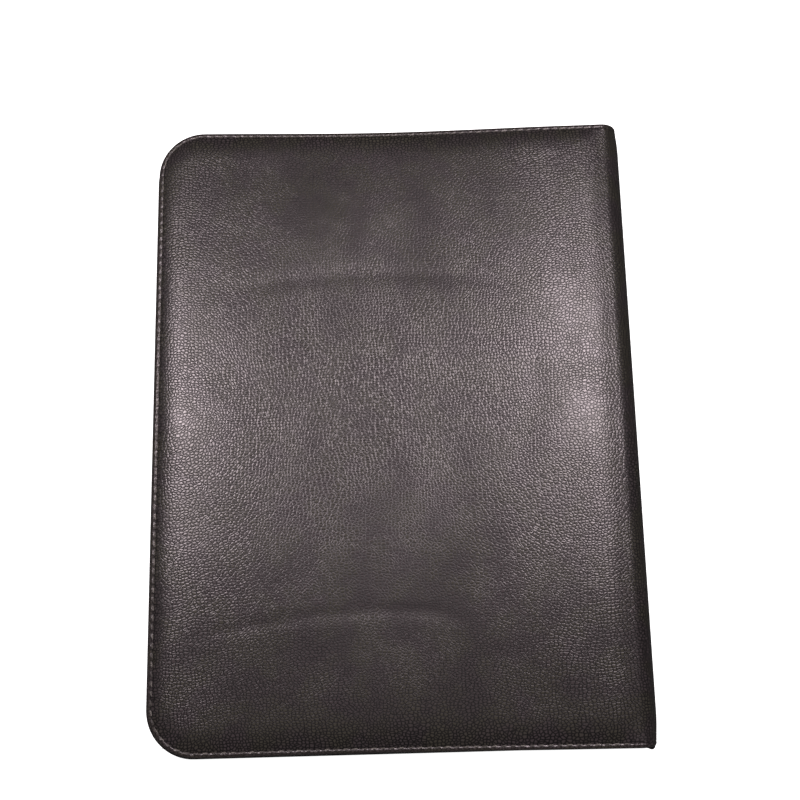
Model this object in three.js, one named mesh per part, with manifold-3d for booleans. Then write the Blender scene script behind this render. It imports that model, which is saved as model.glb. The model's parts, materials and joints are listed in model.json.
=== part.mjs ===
// A soft leather notebook cover, closed and lying on its front, in millimetres.
// +Z is up, +X is the spine side and +Y the head of the pages. The origin is on the floor,
// under the middle of the closed cover.
import * as THREE from 'three';
import { mergeVertices } from 'three/addons/utils/BufferGeometryUtils.js';
import Module from 'manifold-3d';

const wasm = await Module();
wasm.setup();

// The whole cover
const WIDTH = 248;
const LENGTH = 321;
const SPINE_HEIGHT = 22;
const FREE_EDGE_HEIGHT = 15.8;
const SHOULDER_RADIUS = 9.5;
const CORNER_RADIUS = 24;
const CORNER_STEPS = 10;

// The back cover is cut a little smaller, so the front cover shows past it
const BACK_SIDE_TRIM = 2.5;
const BACK_FOOT_TRIM = 2;

// Layers, from the outer face inwards
const LEATHER = 1.2;
const PADDING = 1;
const BOARD = 1.5;
const STIFFENER = 1;
const LINING = 0.6;
const LAYER_GAP = 0.15;
const FIT_GAP = 0.3;

// The seam's thread lies in a groove along the three free edges
const SEAM_INSET = 2.6;
const THREAD = 0.5;
const GROOVE_WIDTH = 1;
const GROOVE_DEPTH = 0.7;
const THREAD_CLEARANCE = 0.1;
// The boards stop just short of the shoulder and the seam further back
const BOARD_SETBACK = 0.5;
const SEAM_SETBACK = 3;

// Writing pad
const PAD = { width: 210, length: 297, paper: 2.2, backing: 0.7, binding: 0.5 };
const PAD_SIDE_MARGIN = 9;
const SLEEVE = { panel: 0.6, rim: 1.5, height: 262 };

// Pockets on the front cover
const POCKET = { panel: 0.5, width: 222, height: 196, rise: 22, margin: 6 };
const CARD_SLOT = { count: 4, panel: 0.35, width: 98, height: 60, step: 16, sideMargin: 6, footMargin: 34 };

// Pen loop
const PEN_LOOP = { length: 50, depth: 12, height: 10, wall: 0.8 };

// Worked out from the sizes above
const LEFT = -WIDTH / 2;
const SPINE_FACE = WIDTH / 2;
const SHOULDER = SPINE_FACE - SHOULDER_RADIUS;
// A flex line runs along the middle of each shoulder's arc
const FLEX = SHOULDER_RADIUS * (1 - Math.SQRT1_2);
const LINING_FACE = LEATHER + PADDING + BOARD + LINING + 3 * LAYER_GAP;
const BACK_TILT = Math.asin((SPINE_HEIGHT - FREE_EDGE_HEIGHT) / (SHOULDER - LEFT - BACK_SIDE_TRIM));

const finish = {
  leather: { color: 0x2b2523, roughness: 0.5 },
  foam: { color: 0x4a4a4a, roughness: 0.9 },
  board: { color: 0x8d8578, roughness: 0.9 },
  lining: { color: 0x201d1c, roughness: 0.8 },
  thread: { color: 0x8a827a, roughness: 0.7 },
  elastic: { color: 0x1c1a19, roughness: 0.9 },
  card: { color: 0xa89270, roughness: 0.9 },
  paper: { color: 0xf1efe6, roughness: 0.9 },
};

function piece(name, look, geometry) {
  const mesh = new THREE.Mesh(geometry, new THREE.MeshStandardMaterial({ metalness: 0, ...finish[look] }));
  mesh.name = name;
  return mesh;
}

function solid(geometry) {
  const bare = geometry.clone();
  bare.deleteAttribute('normal');
  bare.deleteAttribute('uv');
  const merged = mergeVertices(bare, 1e-4);
  return new wasm.Manifold(new wasm.Mesh({
    numProp: 3,
    vertProperties: merged.attributes.position.array,
    triVerts: new Uint32Array(merged.index.array),
  }));
}

function surface(manifold) {
  const mesh = manifold.getMesh();
  const geometry = new THREE.BufferGeometry();
  geometry.setAttribute('position', new THREE.BufferAttribute(mesh.vertProperties, 3));
  geometry.setIndex(new THREE.BufferAttribute(mesh.triVerts, 1));
  geometry.computeVertexNormals();
  return geometry;
}

// A sheet lying flat: an outline in X and Y, from one height to another
function sheet(shape, low, high) {
  const geometry = new THREE.ExtrudeGeometry(shape, {
    depth: high - low,
    bevelEnabled: false,
    curveSegments: CORNER_STEPS,
  });
  return geometry.translate(0, 0, low);
}

// A strip with one section in X and Z all along Y
function strip(section, length) {
  const geometry = new THREE.ExtrudeGeometry(section, {
    depth: length,
    bevelEnabled: false,
    curveSegments: CORNER_STEPS,
  });
  return geometry.rotateX(Math.PI / 2).translate(0, length / 2, 0);
}

function rectangle(x0, x1, y0, y1) {
  return new THREE.Shape([
    new THREE.Vector2(x0, y0),
    new THREE.Vector2(x1, y0),
    new THREE.Vector2(x1, y1),
    new THREE.Vector2(x0, y1),
  ]);
}

// A cover's outline: round corners on the free side, square ones at the spine
function coverOutline(left, right, halfLength, radius) {
  const shape = new THREE.Shape();
  shape.moveTo(right, -halfLength);
  shape.lineTo(right, halfLength);
  shape.lineTo(left + radius, halfLength);
  shape.absarc(left + radius, halfLength - radius, radius, Math.PI / 2, Math.PI, false);
  shape.lineTo(left, radius - halfLength);
  shape.absarc(left + radius, radius - halfLength, radius, Math.PI, 1.5 * Math.PI, false);
  return shape;
}

// A band of one width along the three free edges, its middle at the seam's inset
function seamBand(left, right, halfLength, width, low, high) {
  const outer = SEAM_INSET - width / 2;
  const inner = SEAM_INSET + width / 2;
  const far = coverOutline(left + outer, right, halfLength - outer, CORNER_RADIUS - outer);
  const near = coverOutline(left + inner, right + 1, halfLength - inner, CORNER_RADIUS - inner);
  return solid(sheet(far, low, high)).subtract(solid(sheet(near, low - 1, high + 1)));
}

// Half of a shoulder seen from the end: the stretch of arc that a cover's leather takes with it
function shoulderStrip(length) {
  const end = Math.PI / 4 - FIT_GAP / 2 / SHOULDER_RADIUS;
  const inner = SHOULDER_RADIUS - LEATHER;
  const overlap = 2;
  const section = new THREE.Shape();
  section.moveTo(SHOULDER - overlap, 0);
  section.lineTo(SHOULDER, 0);
  section.absarc(SHOULDER, SHOULDER_RADIUS, SHOULDER_RADIUS, -Math.PI / 2, -Math.PI / 2 + end, false);
  section.absarc(SHOULDER, SHOULDER_RADIUS, inner, -Math.PI / 2 + end, -Math.PI / 2, true);
  section.lineTo(SHOULDER - overlap, LEATHER);
  return strip(section, length);
}

// The layers of one cover, outer face down at height 0
function coverLayers(name, left, length) {
  const half = length / 2;
  const inset = LEATHER + LAYER_GAP;
  const within = coverOutline(left + inset, SHOULDER - BOARD_SETBACK, half - inset, CORNER_RADIUS - inset);
  const seamEnd = SHOULDER - SEAM_SETBACK;

  const tray = solid(sheet(coverOutline(left, SHOULDER, half, CORNER_RADIUS), 0, LINING_FACE));
  const hollow = solid(sheet(
    coverOutline(left + LEATHER, SHOULDER + 1, half - LEATHER, CORNER_RADIUS - LEATHER),
    LEATHER, LINING_FACE + 1));
  // The rims stop short of the shoulder, which has to flex
  const flexRoom = solid(sheet(
    rectangle(SHOULDER - BOARD_SETBACK, SHOULDER + 1, -half - 1, half + 1), LEATHER, LINING_FACE + 1));
  const groove = seamBand(left, seamEnd, half, GROOVE_WIDTH, -1, GROOVE_DEPTH);
  const leather = tray.subtract(hollow).subtract(flexRoom).add(solid(shoulderStrip(length))).subtract(groove);

  const paddingFace = LEATHER + LAYER_GAP;
  const boardFace = paddingFace + PADDING + LAYER_GAP;
  const liningBack = boardFace + BOARD + LAYER_GAP;
  const threadFloor = GROOVE_DEPTH - THREAD_CLEARANCE;
  const thread = seamBand(left, seamEnd - FIT_GAP, half, THREAD, threadFloor - THREAD, threadFloor);

  return [
    piece(`${name}_leather`, 'leather', surface(leather)),
    piece(`${name}_padding`, 'foam', sheet(within, paddingFace, paddingFace + PADDING)),
    piece(`${name}_board`, 'board', sheet(within, boardFace, boardFace + BOARD)),
    piece(`${name}_lining`, 'lining', sheet(within, liningBack, LINING_FACE)),
    piece(`${name}_stitching`, 'thread', surface(thread)),
  ];
}

// The document pocket lies on the front lining. Its mouth sweeps up towards the free edge.
function documentPocket() {
  const left = LEFT + POCKET.margin;
  const right = left + POCKET.width;
  const foot = POCKET.margin - LENGTH / 2;
  const mouth = foot + POCKET.height;
  const radius = CORNER_RADIUS - POCKET.margin;
  const shape = new THREE.Shape();
  shape.moveTo(right, foot);
  shape.lineTo(right, mouth - POCKET.rise);
  shape.quadraticCurveTo((left + right) / 2, mouth - POCKET.rise, left, mouth);
  shape.lineTo(left, foot + radius);
  shape.absarc(left + radius, foot + radius, radius, Math.PI, 1.5 * Math.PI, false);
  const low = LINING_FACE + FIT_GAP;
  return piece('document_pocket', 'lining', sheet(shape, low, low + POCKET.panel));
}

// Card slots lie one on another like shingles, each a step narrower than the one below it.
// Their mouths face the free edge, so the stack is thickest near the spine.
function cardSlots() {
  const right = LEFT + POCKET.margin + POCKET.width - CARD_SLOT.sideMargin;
  const foot = POCKET.margin - LENGTH / 2 + CARD_SLOT.footMargin;
  const base = LINING_FACE + FIT_GAP + POCKET.panel + LAYER_GAP;
  return Array.from({ length: CARD_SLOT.count }, (_, k) => {
    const low = base + k * (CARD_SLOT.panel + LAYER_GAP);
    const left = right - CARD_SLOT.width + k * CARD_SLOT.step;
    const shape = rectangle(left, right, foot, foot + CARD_SLOT.height);
    return piece(`card_slot_${k + 1}`, 'lining', sheet(shape, low, low + CARD_SLOT.panel));
  });
}

// One layer of the spine: two arcs and the flat between them, a C seen from the end.
// It starts the given angle up from the bottom of the arc.
function spineLayer(name, look, depth, thickness, start, length) {
  const outer = SHOULDER_RADIUS - depth;
  const inner = outer - thickness;
  const upper = SPINE_HEIGHT - SHOULDER_RADIUS;
  const from = start - Math.PI / 2;
  const section = new THREE.Shape();
  section.moveTo(SHOULDER + outer * Math.cos(from), SHOULDER_RADIUS + outer * Math.sin(from));
  section.absarc(SHOULDER, SHOULDER_RADIUS, outer, from, 0, false);
  section.absarc(SHOULDER, upper, outer, 0, -from, false);
  section.absarc(SHOULDER, upper, inner, -from, 0, true);
  section.absarc(SHOULDER, SHOULDER_RADIUS, inner, 0, from, true);
  return piece(name, look, strip(section, length));
}

function spineLayers() {
  const leatherStart = Math.PI / 4 + FIT_GAP / 2 / SHOULDER_RADIUS;
  const paddingDepth = LEATHER + LAYER_GAP;
  const stiffenerDepth = paddingDepth + PADDING + LAYER_GAP;
  const liningDepth = stiffenerDepth + STIFFENER + LAYER_GAP;
  return [
    spineLayer('spine_leather', 'leather', 0, LEATHER, leatherStart, LENGTH - 1),
    spineLayer('spine_padding', 'foam', paddingDepth, PADDING, THREE.MathUtils.degToRad(52), LENGTH - 5),
    spineLayer('spine_stiffener', 'card', stiffenerDepth, STIFFENER, THREE.MathUtils.degToRad(56), LENGTH - 7),
    spineLayer('spine_lining', 'lining', liningDepth, LINING, THREE.MathUtils.degToRad(56), LENGTH - 5),
  ];
}

// The pen loop is a flat oval ring on the spine's lining, open at both ends
function penLoop() {
  const liningDepth = LEATHER + PADDING + STIFFENER + LINING + 3 * LAYER_GAP;
  const right = SPINE_FACE - liningDepth - FIT_GAP;
  const middle = [right - PEN_LOOP.depth / 2, SPINE_HEIGHT / 2];
  const ring = new THREE.Shape();
  ring.absellipse(...middle, PEN_LOOP.depth / 2, PEN_LOOP.height / 2, 0, 2 * Math.PI, false);
  const hole = new THREE.Path();
  hole.absellipse(
    ...middle, PEN_LOOP.depth / 2 - PEN_LOOP.wall, PEN_LOOP.height / 2 - PEN_LOOP.wall, 0, 2 * Math.PI, true);
  ring.holes.push(hole);
  return piece('pen_loop', 'elastic', strip(ring, PEN_LOOP.length));
}

// The sleeve and the pad, in the back cover's own frame: outer face down, head of the pages at -Y
function padAndSleeve(left) {
  const padLeft = left + PAD_SIDE_MARGIN;
  const padRight = padLeft + PAD.width;
  const halfPad = PAD.length / 2;
  const backingLow = LINING_FACE + FIT_GAP;
  const panelLow = backingLow + PAD.backing + FIT_GAP;
  const paperLow = panelLow + SLEEVE.panel + FIT_GAP;
  const paperHigh = paperLow + PAD.paper;

  const outer = PAD_SIDE_MARGIN - SLEEVE.rim - FIT_GAP;
  const foot = halfPad + FIT_GAP;
  const mouth = foot - SLEEVE.height;
  const block = solid(sheet(
    rectangle(left + outer, padRight + FIT_GAP + SLEEVE.rim, mouth, foot + SLEEVE.rim),
    LINING_FACE + LAYER_GAP, panelLow + SLEEVE.panel));
  const room = solid(sheet(
    rectangle(padLeft - FIT_GAP, padRight + FIT_GAP, mouth - 1, foot), LINING_FACE - 1, panelLow));

  const sleeve = piece('pad_sleeve', 'lining', surface(block.subtract(room)));
  const pad = rectangle(padLeft, padRight, -halfPad, halfPad);
  const head = rectangle(padLeft, padRight, -halfPad - FIT_GAP - PAD.binding, -halfPad - FIT_GAP);
  return [
    sleeve,
    piece('pad_backing', 'card', sheet(pad, backingLow, backingLow + PAD.backing)),
    piece('paper_block', 'paper', sheet(pad, paperLow, paperHigh)),
    piece('pad_binding', 'elastic', sheet(head, backingLow, paperHigh)),
  ];
}

const cover = new THREE.Group();
cover.add(...coverLayers('front', LEFT, LENGTH), documentPocket(), ...cardSlots());
cover.add(...spineLayers(), penLoop());

// The back cover is built outer face down too, then turned over about X and hung on its flex line,
// where it slopes down from the spine to the free edge
const backLeft = LEFT + BACK_SIDE_TRIM;
const turnedOver = new THREE.Group();
turnedOver.rotation.x = Math.PI;
turnedOver.position.set(FLEX - SPINE_FACE, BACK_FOOT_TRIM / 2, FLEX);
turnedOver.add(...coverLayers('back', backLeft, LENGTH - BACK_FOOT_TRIM), ...padAndSleeve(backLeft));

const backHinge = new THREE.Group();
backHinge.position.set(SPINE_FACE - FLEX, 0, SPINE_HEIGHT - FLEX);
backHinge.rotation.y = -BACK_TILT;
backHinge.add(turnedOver);
cover.add(backHinge);

export default cover;
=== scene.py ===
"""Looks of a leather notebook cover, closed and lying on its front.

Sizes and places are in millimetres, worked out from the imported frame, until mesh() scales them to metres.
X points to the spine, Y to the head of the pages and Z up.
"""
import json
import math
import random

import bmesh
import bpy
import numpy as np
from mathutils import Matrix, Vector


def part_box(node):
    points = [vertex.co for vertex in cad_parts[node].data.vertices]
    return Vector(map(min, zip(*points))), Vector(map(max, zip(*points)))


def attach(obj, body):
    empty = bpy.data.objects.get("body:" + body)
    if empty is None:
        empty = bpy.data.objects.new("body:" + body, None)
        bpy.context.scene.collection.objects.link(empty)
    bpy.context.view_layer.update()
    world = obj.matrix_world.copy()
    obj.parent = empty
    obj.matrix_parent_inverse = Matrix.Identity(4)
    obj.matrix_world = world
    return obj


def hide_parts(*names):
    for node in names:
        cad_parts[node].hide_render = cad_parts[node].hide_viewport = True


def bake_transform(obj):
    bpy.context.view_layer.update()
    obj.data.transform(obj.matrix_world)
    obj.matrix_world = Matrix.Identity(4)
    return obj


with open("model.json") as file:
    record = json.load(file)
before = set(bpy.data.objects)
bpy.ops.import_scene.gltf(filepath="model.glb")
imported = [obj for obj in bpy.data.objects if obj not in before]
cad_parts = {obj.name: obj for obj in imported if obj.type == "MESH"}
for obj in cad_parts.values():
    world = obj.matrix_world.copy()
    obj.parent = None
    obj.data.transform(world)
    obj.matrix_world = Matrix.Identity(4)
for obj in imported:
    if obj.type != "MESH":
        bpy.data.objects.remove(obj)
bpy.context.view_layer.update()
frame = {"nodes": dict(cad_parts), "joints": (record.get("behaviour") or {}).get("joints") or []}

MM = 0.001


# ---------------------------------------------------------------- sizes from the frame

def box_mm(node):
    low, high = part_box(node)
    return np.array(low) / MM, np.array(high) / MM


JOINTS = {joint["name"]: joint for joint in frame["joints"]}
FRONT_LOW, FRONT_HIGH = box_mm("front_leather")
BACK_LOW, BACK_HIGH = box_mm("back_leather")
SPINE_FACE = box_mm("spine_leather")[1][0]
FLEX = JOINTS["spine_flex"]["pos_m"][2] / MM
SPINE_HEIGHT = FLEX + JOINTS["back_flex"]["pos_m"][2] / MM
SHOULDER_RADIUS = FLEX / (1 - math.sqrt(0.5))
SHOULDER = SPINE_FACE - SHOULDER_RADIUS
BACK_TILT = math.radians(JOINTS["back_flex"]["range_deg"][1] - 90)
CORNER_RADIUS = 24.0

# Depths under the outer face, as in the frame, and how the leather is turned round the edges
LEATHER = 0.45
PADDING_FACE = 1.35
BOARD_FACE = 2.5
BOARD_BACK = 4.0
TURN_IN = 4.45
LINING_FACE = 4.85
EDGE_ROLL = 1.9
TURN_IN_WIDTH = 13.0
BACK_SAG = 3.6

# The seam
SEAM_INSET = 2.4
STITCH_PITCH = 4.45
STITCH_LENGTH = 2.9
FINE_PITCH = 3.3
FINE_LENGTH = 2.2
FINE_THREAD = 0.17

# The padded panel starts inside the seam and rises over a ramp from the pressed edge
PANEL_EDGE = 3.2
PANEL_RAMP = 15.0
PRESSED = 1.05


# ---------------------------------------------------------------- the covers' shape

def smoothstep(low, high, value):
    t = np.clip((value - low) / (high - low), 0, 1)
    return t * t * (3 - 2 * t)


def bump(value, centre, width):
    return np.exp(-((value - centre) / width) ** 2)


class Cover:
    """A cover's outer face: straight from its free edge, then round the shoulder to the middle of the spine.

    A place on it is s, the distance from the free edge along the face, and v, the place along the spine.
    turn is 1 where the spine curls up from it and -1 where it curls down.
    """

    def __init__(self, start, slope, turn, foot, head, sag=0.0, rise=0.0):
        self.start = np.array(start)
        self.slope = slope
        self.turn = turn
        self.foot = foot
        self.head = head
        self.sag = sag
        self.rise = rise
        along = np.array([math.cos(slope), math.sin(slope)])
        self.centre = np.array([SHOULDER, SHOULDER_RADIUS if turn > 0 else SPINE_HEIGHT - SHOULDER_RADIUS])
        self.straight = float(np.dot(self.centre - self.start, along))
        self.arc = SHOULDER_RADIUS * (math.pi / 2 - turn * slope)
        self.end = self.straight + self.arc + SPINE_HEIGHT / 2 - SHOULDER_RADIUS

    def section(self, s):
        """Places and outward normals, in X and Z, at the distances s along the outer face."""
        s = np.asarray(s, float)
        turned = np.clip(s - self.straight, 0, self.arc) / SHOULDER_RADIUS
        angle = self.slope + self.turn * turned
        normal = self.turn * np.stack([np.sin(angle), -np.cos(angle)], -1)
        onward = np.stack([np.cos(angle), np.sin(angle)], -1)
        before = np.minimum(s - self.straight, 0)
        after = np.maximum(s - self.straight - self.arc, 0)
        place = self.centre + SHOULDER_RADIUS * normal + (before + after)[..., None] * onward
        return place, normal

    def sagging(self, s):
        """How far a soft cover sags between its free edge and the spine."""
        return self.sag * np.sin(math.pi * np.clip(s / self.straight, 0, 1)) ** 2

    def place(self, s, v, depth):
        """Points in the frame at a depth under the outer face."""
        flat, normal = self.section(s)
        flat = flat - normal * (depth + self.sagging(s))[..., None]
        return np.stack([flat[..., 0], v, flat[..., 1]], -1)

    def rounded(self, s, v, radius=CORNER_RADIUS):
        """Pulls a square grid into the two round corners. Returns s, v and the distance from the edge."""
        middle = (self.foot + self.head) / 2
        half = (self.head - self.foot) / 2
        side = np.sign(v - middle)
        across = half - np.abs(v - middle)
        near = np.minimum(s, across)
        in_corner = (s < radius) & (across < radius)
        span = np.maximum(radius - near, 1e-6)
        share = np.where(across <= s, (radius - s) / span / 2, 1 - (radius - across) / span / 2)
        angle = np.clip(share, 0, 1) * math.pi / 2
        new_s = np.where(in_corner, radius - span * np.sin(angle), s)
        new_across = np.where(in_corner, radius - span * np.cos(angle), across)
        return new_s, middle + side * (half - new_across), near

    def from_edge(self, s, v, radius=CORNER_RADIUS):
        """Distance from the free edges of a place on the face."""
        middle = (self.foot + self.head) / 2
        half = (self.head - self.foot) / 2
        across = half - np.abs(v - middle)
        round_part = radius - np.hypot(radius - s, radius - across)
        return np.where((s < radius) & (across < radius), round_part, np.minimum(s, across))

    def along_seam(self, s, v):
        """Distance along the seam from its end at the foot, beside any place near the edge."""
        middle = (self.foot + self.head) / 2
        half = (self.head - self.foot) / 2
        straight = self.end - CORNER_RADIUS
        corner = (CORNER_RADIUS - SEAM_INSET) * math.pi / 2
        y = v - middle
        across = half - np.abs(y)
        turn = np.arctan2(np.maximum(CORNER_RADIUS - s, 0), np.maximum(CORNER_RADIUS - across, 1e-6))
        lower = np.where(s > CORNER_RADIUS, self.end - s, straight + turn * (CORNER_RADIUS - SEAM_INSET))
        total = 2 * straight + 2 * corner + 2 * (half - CORNER_RADIUS)
        ends = np.where(y < 0, lower, total - lower)
        side = straight + corner + (y + half - CORNER_RADIUS)
        return np.where(across < CORNER_RADIUS, ends, side)

    def relief(self, s, v, edge):
        """Height of the leather over the outer face of the frame: a padded panel inside a pressed seam."""
        panel = 1 - (1 - np.clip((edge - PANEL_EDGE) / PANEL_RAMP, 0, 1)) ** 3
        pressed = -PRESSED + PRESSED * panel
        groove = -0.32 * bump(edge, SEAM_INSET, 0.55)
        welt = 0.16 * bump(edge, SEAM_INSET - 1.3, 0.6)
        waves = (
            0.22 * np.sin(s / 37 + 0.6) * np.cos(v / 43 + 0.4)
            + 0.13 * np.sin(s / 17 + v / 29)
            + 0.08 * np.cos(v / 13 - s / 31 + 1.0)
        )
        calm = panel * smoothstep(0, 30, self.straight - s)
        lift = self.rise * panel
        height = pressed + groove + welt + lift + waves * calm * (0.9 if self.turn < 0 else 0.0)
        # The shoulder starts to turn down a little before its round part
        if self.turn < 0:
            height = height - 1.3 * bump(s, self.straight + 2.5, 8.5) * panel
        # The ends of the spine are pressed less than the covers' edges
        shallow = smoothstep(self.straight - 12, self.straight + 4, s)
        return height * (1 - 0.45 * shallow * (1 - panel))


class Crease:
    """A shallow fold in the leather, along a curve through three places."""

    def __init__(self, first, middle, last, depth, width, ridge=0.6):
        t = np.linspace(0, 1, 60)[:, None]
        first, middle, last = (np.array(p, float) for p in (first, middle, last))
        control = 2 * middle - (first + last) / 2
        self.line = (1 - t) ** 2 * first + 2 * t * (1 - t) * control + t ** 2 * last
        self.depth = depth
        self.width = width
        self.ridge = ridge

    def height(self, x, y):
        points = np.stack([x.ravel(), y.ravel()], -1)
        best = np.full(len(points), 1e9)
        share = np.zeros(len(points))
        side = np.zeros(len(points))
        steps = np.diff(self.line, axis=0)
        for k, (at, step) in enumerate(zip(self.line[:-1], steps)):
            away = points - at
            t = np.clip(away @ step / (step @ step), 0, 1)
            gap = away - t[:, None] * step
            distance = np.hypot(*gap.T)
            closer = distance < best
            best[closer] = distance[closer]
            share[closer] = ((k + t) / len(steps))[closer]
            side[closer] = (step[0] * gap[:, 1] - step[1] * gap[:, 0])[closer]
        signed = np.where(side < 0, -best, best)
        fade = smoothstep(0, 0.25, share) * smoothstep(0, 0.25, 1 - share)
        shape = -bump(signed, 0, self.width) + self.ridge * bump(signed, -1.9 * self.width, 1.5 * self.width)
        return (self.depth * fade * shape).reshape(x.shape)


FRONT = Cover((FRONT_LOW[0], 0.0), 0.0, 1, FRONT_LOW[1], FRONT_HIGH[1])
BACK_START = (
    BACK_LOW[0],
    SPINE_HEIGHT - SHOULDER_RADIUS + SHOULDER_RADIUS * math.cos(BACK_TILT)
    - (SHOULDER - BACK_LOW[0]) * math.tan(BACK_TILT),
)
BACK = Cover(BACK_START, BACK_TILT, -1, BACK_LOW[1], BACK_HIGH[1], sag=BACK_SAG, rise=0.35)

BACK_CREASES = [
    Crease((-112, 66), (-14, 80), (74, 70), 0.26, 4.5, ridge=0.0),
    Crease((-118, -106), (-18, -92), (36, -99), 0.15, 3.0, ridge=0.2),
    Crease((-52, 52), (-30, 28), (-8, 0), 0.16, 2.2, ridge=0.5),
    Crease((-40, 128), (-20, 112), (-28, 96), 0.2, 5.0, ridge=0.4),
    Crease((60, -30), (72, 10), (70, 50), 0.12, 6.0, ridge=0.5),
]


# ---------------------------------------------------------------- meshes

def mesh(name, points, faces, body, material, attributes=None, stands_for=()):
    """Makes an object of points in millimetres and lets it ride on a body."""
    data = bpy.data.meshes.new(name)
    data.from_pydata((np.asarray(points) * MM).tolist(), [], [tuple(f) for f in faces])
    data.polygons.foreach_set("use_smooth", [True] * len(data.polygons))
    for key, values in (attributes or {}).items():
        values = np.asarray(values, np.float32)
        kind = "FLOAT_VECTOR" if values.ndim == 2 else "FLOAT"
        layer = data.attributes.new(key, kind, "POINT")
        layer.data.foreach_set("vector" if values.ndim == 2 else "value", values.ravel())
    data.materials.append(material)
    data.update()
    piece = bpy.data.objects.new(name, data)
    bpy.context.scene.collection.objects.link(piece)
    if body:
        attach(piece, body)
    if stands_for:
        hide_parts(*stands_for)
    return piece


def grid_faces(rows, columns, flip=False):
    """Quads between the points of a grid, row by row."""
    i, j = np.meshgrid(np.arange(rows - 1), np.arange(columns - 1), indexing="ij")
    a = (i * columns + j).ravel()
    corners = [a, a + columns, a + columns + 1, a + 1]
    return np.stack(corners[::-1] if flip else corners, -1)


def ring_faces(first, second, flip=False, closed=False):
    """Quads between two rows of point numbers of the same length."""
    first, second = np.asarray(first), np.asarray(second)
    if closed:
        first, second = np.append(first, first[0]), np.append(second, second[0])
    corners = [first[:-1], first[1:], second[1:], second[:-1]]
    return np.stack(corners[::-1] if flip else corners, -1)


def graded(length, fine, coarse, both=True):
    """Places from 0 to length, close together near the ends and further apart between them."""
    start = np.concatenate([fine, np.arange(fine[-1] + coarse, length / 2, coarse)])
    if both:
        return np.concatenate([start, length - start[::-1]])
    end = np.arange(start[-1] + coarse, length, coarse)
    return np.concatenate([start, end[end < length - coarse / 2], [length]])


EDGE_LINES = np.array([0, 0.25, 0.5, 0.8, 1.2, 1.7, 2.3, 3.0, 3.9, 5.0,
                       6.3, 7.8, 9.4, 11, 12.6, 14.2, 15.8, 17.4, 19, 20.6])


def skin(name, cover, material, coarse, creases, stands_for):
    """The leather of one cover and half of the spine, turned in round its edges."""
    s = EDGE_ROLL + graded(cover.straight - EDGE_ROLL, EDGE_LINES, coarse, both=False)
    s = np.concatenate([s, np.linspace(cover.straight, cover.end, 16)[1:]])
    v = cover.foot + EDGE_ROLL + graded(cover.head - cover.foot - 2 * EDGE_ROLL, EDGE_LINES, coarse)
    grid_s, grid_v = np.meshgrid(s, v, indexing="ij")
    a, b, edge = cover.rounded(grid_s, grid_v)
    height = cover.relief(a, b, edge)
    for crease in creases:
        height += crease.height(a + cover.start[0], b)
    rows, columns = grid_s.shape
    points = [cover.place(a, b, -height).reshape(-1, 3)]
    hide = [np.stack([a, b, np.zeros_like(a)], -1).reshape(-1, 3)]
    rim = [edge.ravel()]
    seam = [cover.along_seam(a, b).ravel()]
    flip = cover.turn > 0
    faces = [grid_faces(rows, columns, flip)]

    number = np.arange(rows * columns).reshape(rows, columns)
    loop = np.concatenate([number[::-1, 0], number[0, 1:], number[1:, -1]])
    loop_s, loop_v = a.ravel()[loop], b.ravel()[loop]
    out = outward(cover, loop_s, loop_v)
    top = -height.ravel()[loop]
    half = (TURN_IN - top) / 2
    last = loop
    travelled = 0.0
    turns = [math.radians(angle) for angle in (20, 42, 64, 86, 108, 130, 152, 180)]
    steps = [(EDGE_ROLL * math.sin(t), top + half * (1 - math.cos(t))) for t in turns]
    steps += [(-inward, top + 2 * half) for inward in (1.2, 4.0, 8.0, TURN_IN_WIDTH)]
    count = rows * columns
    outer_before, depth_before = 0.0, top
    for outer, depth in steps:
        travelled = travelled + np.hypot(outer - outer_before, depth - depth_before)
        ring_s, ring_v = loop_s + out[:, 0] * outer, loop_v + out[:, 1] * outer
        points.append(cover.place(ring_s, ring_v, depth))
        flat_s, flat_v = loop_s + out[:, 0] * travelled, loop_v + out[:, 1] * travelled
        hide.append(np.stack([flat_s, flat_v, 0 * loop_s], -1))
        rim.append(EDGE_ROLL - travelled)
        seam.append(cover.along_seam(loop_s, loop_v))
        ring = count + np.arange(len(loop))
        faces.append(ring_faces(last, ring, flip))
        last = ring
        count += len(loop)
        outer_before, depth_before = outer, depth

    piece = mesh(name, np.concatenate(points), np.concatenate(faces), None, material,
                 {"hide": np.concatenate(hide), "rim": np.concatenate(rim), "seam": np.concatenate(seam)},
                 stands_for)
    thicken(piece, LEATHER)
    return piece


def outward(cover, s, v):
    """Unit directions, in s and v, out of the edge of a cover at places on its edge."""
    middle = (cover.foot + cover.head) / 2
    half = (cover.head - cover.foot) / 2
    side = np.sign(v - middle)
    across = half - np.abs(v - middle)
    out = np.where((across < s)[:, None], np.stack([0 * s, side], -1), np.stack([-1 + 0 * s, 0 * s], -1))
    in_corner = (s < CORNER_RADIUS) & (across < CORNER_RADIUS)
    away = np.stack([s - CORNER_RADIUS, side * (CORNER_RADIUS - across)], -1)
    away = away / np.maximum(np.hypot(*away.T), 1e-6)[:, None]
    return np.where(in_corner[:, None], away, out)


def thicken(piece, thickness):
    modifier = piece.modifiers.new("thickness", "SOLIDIFY")
    modifier.thickness = thickness * MM
    modifier.offset = -1
    bpy.context.view_layer.objects.active = piece
    bpy.ops.object.modifier_apply(modifier=modifier.name)


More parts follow.
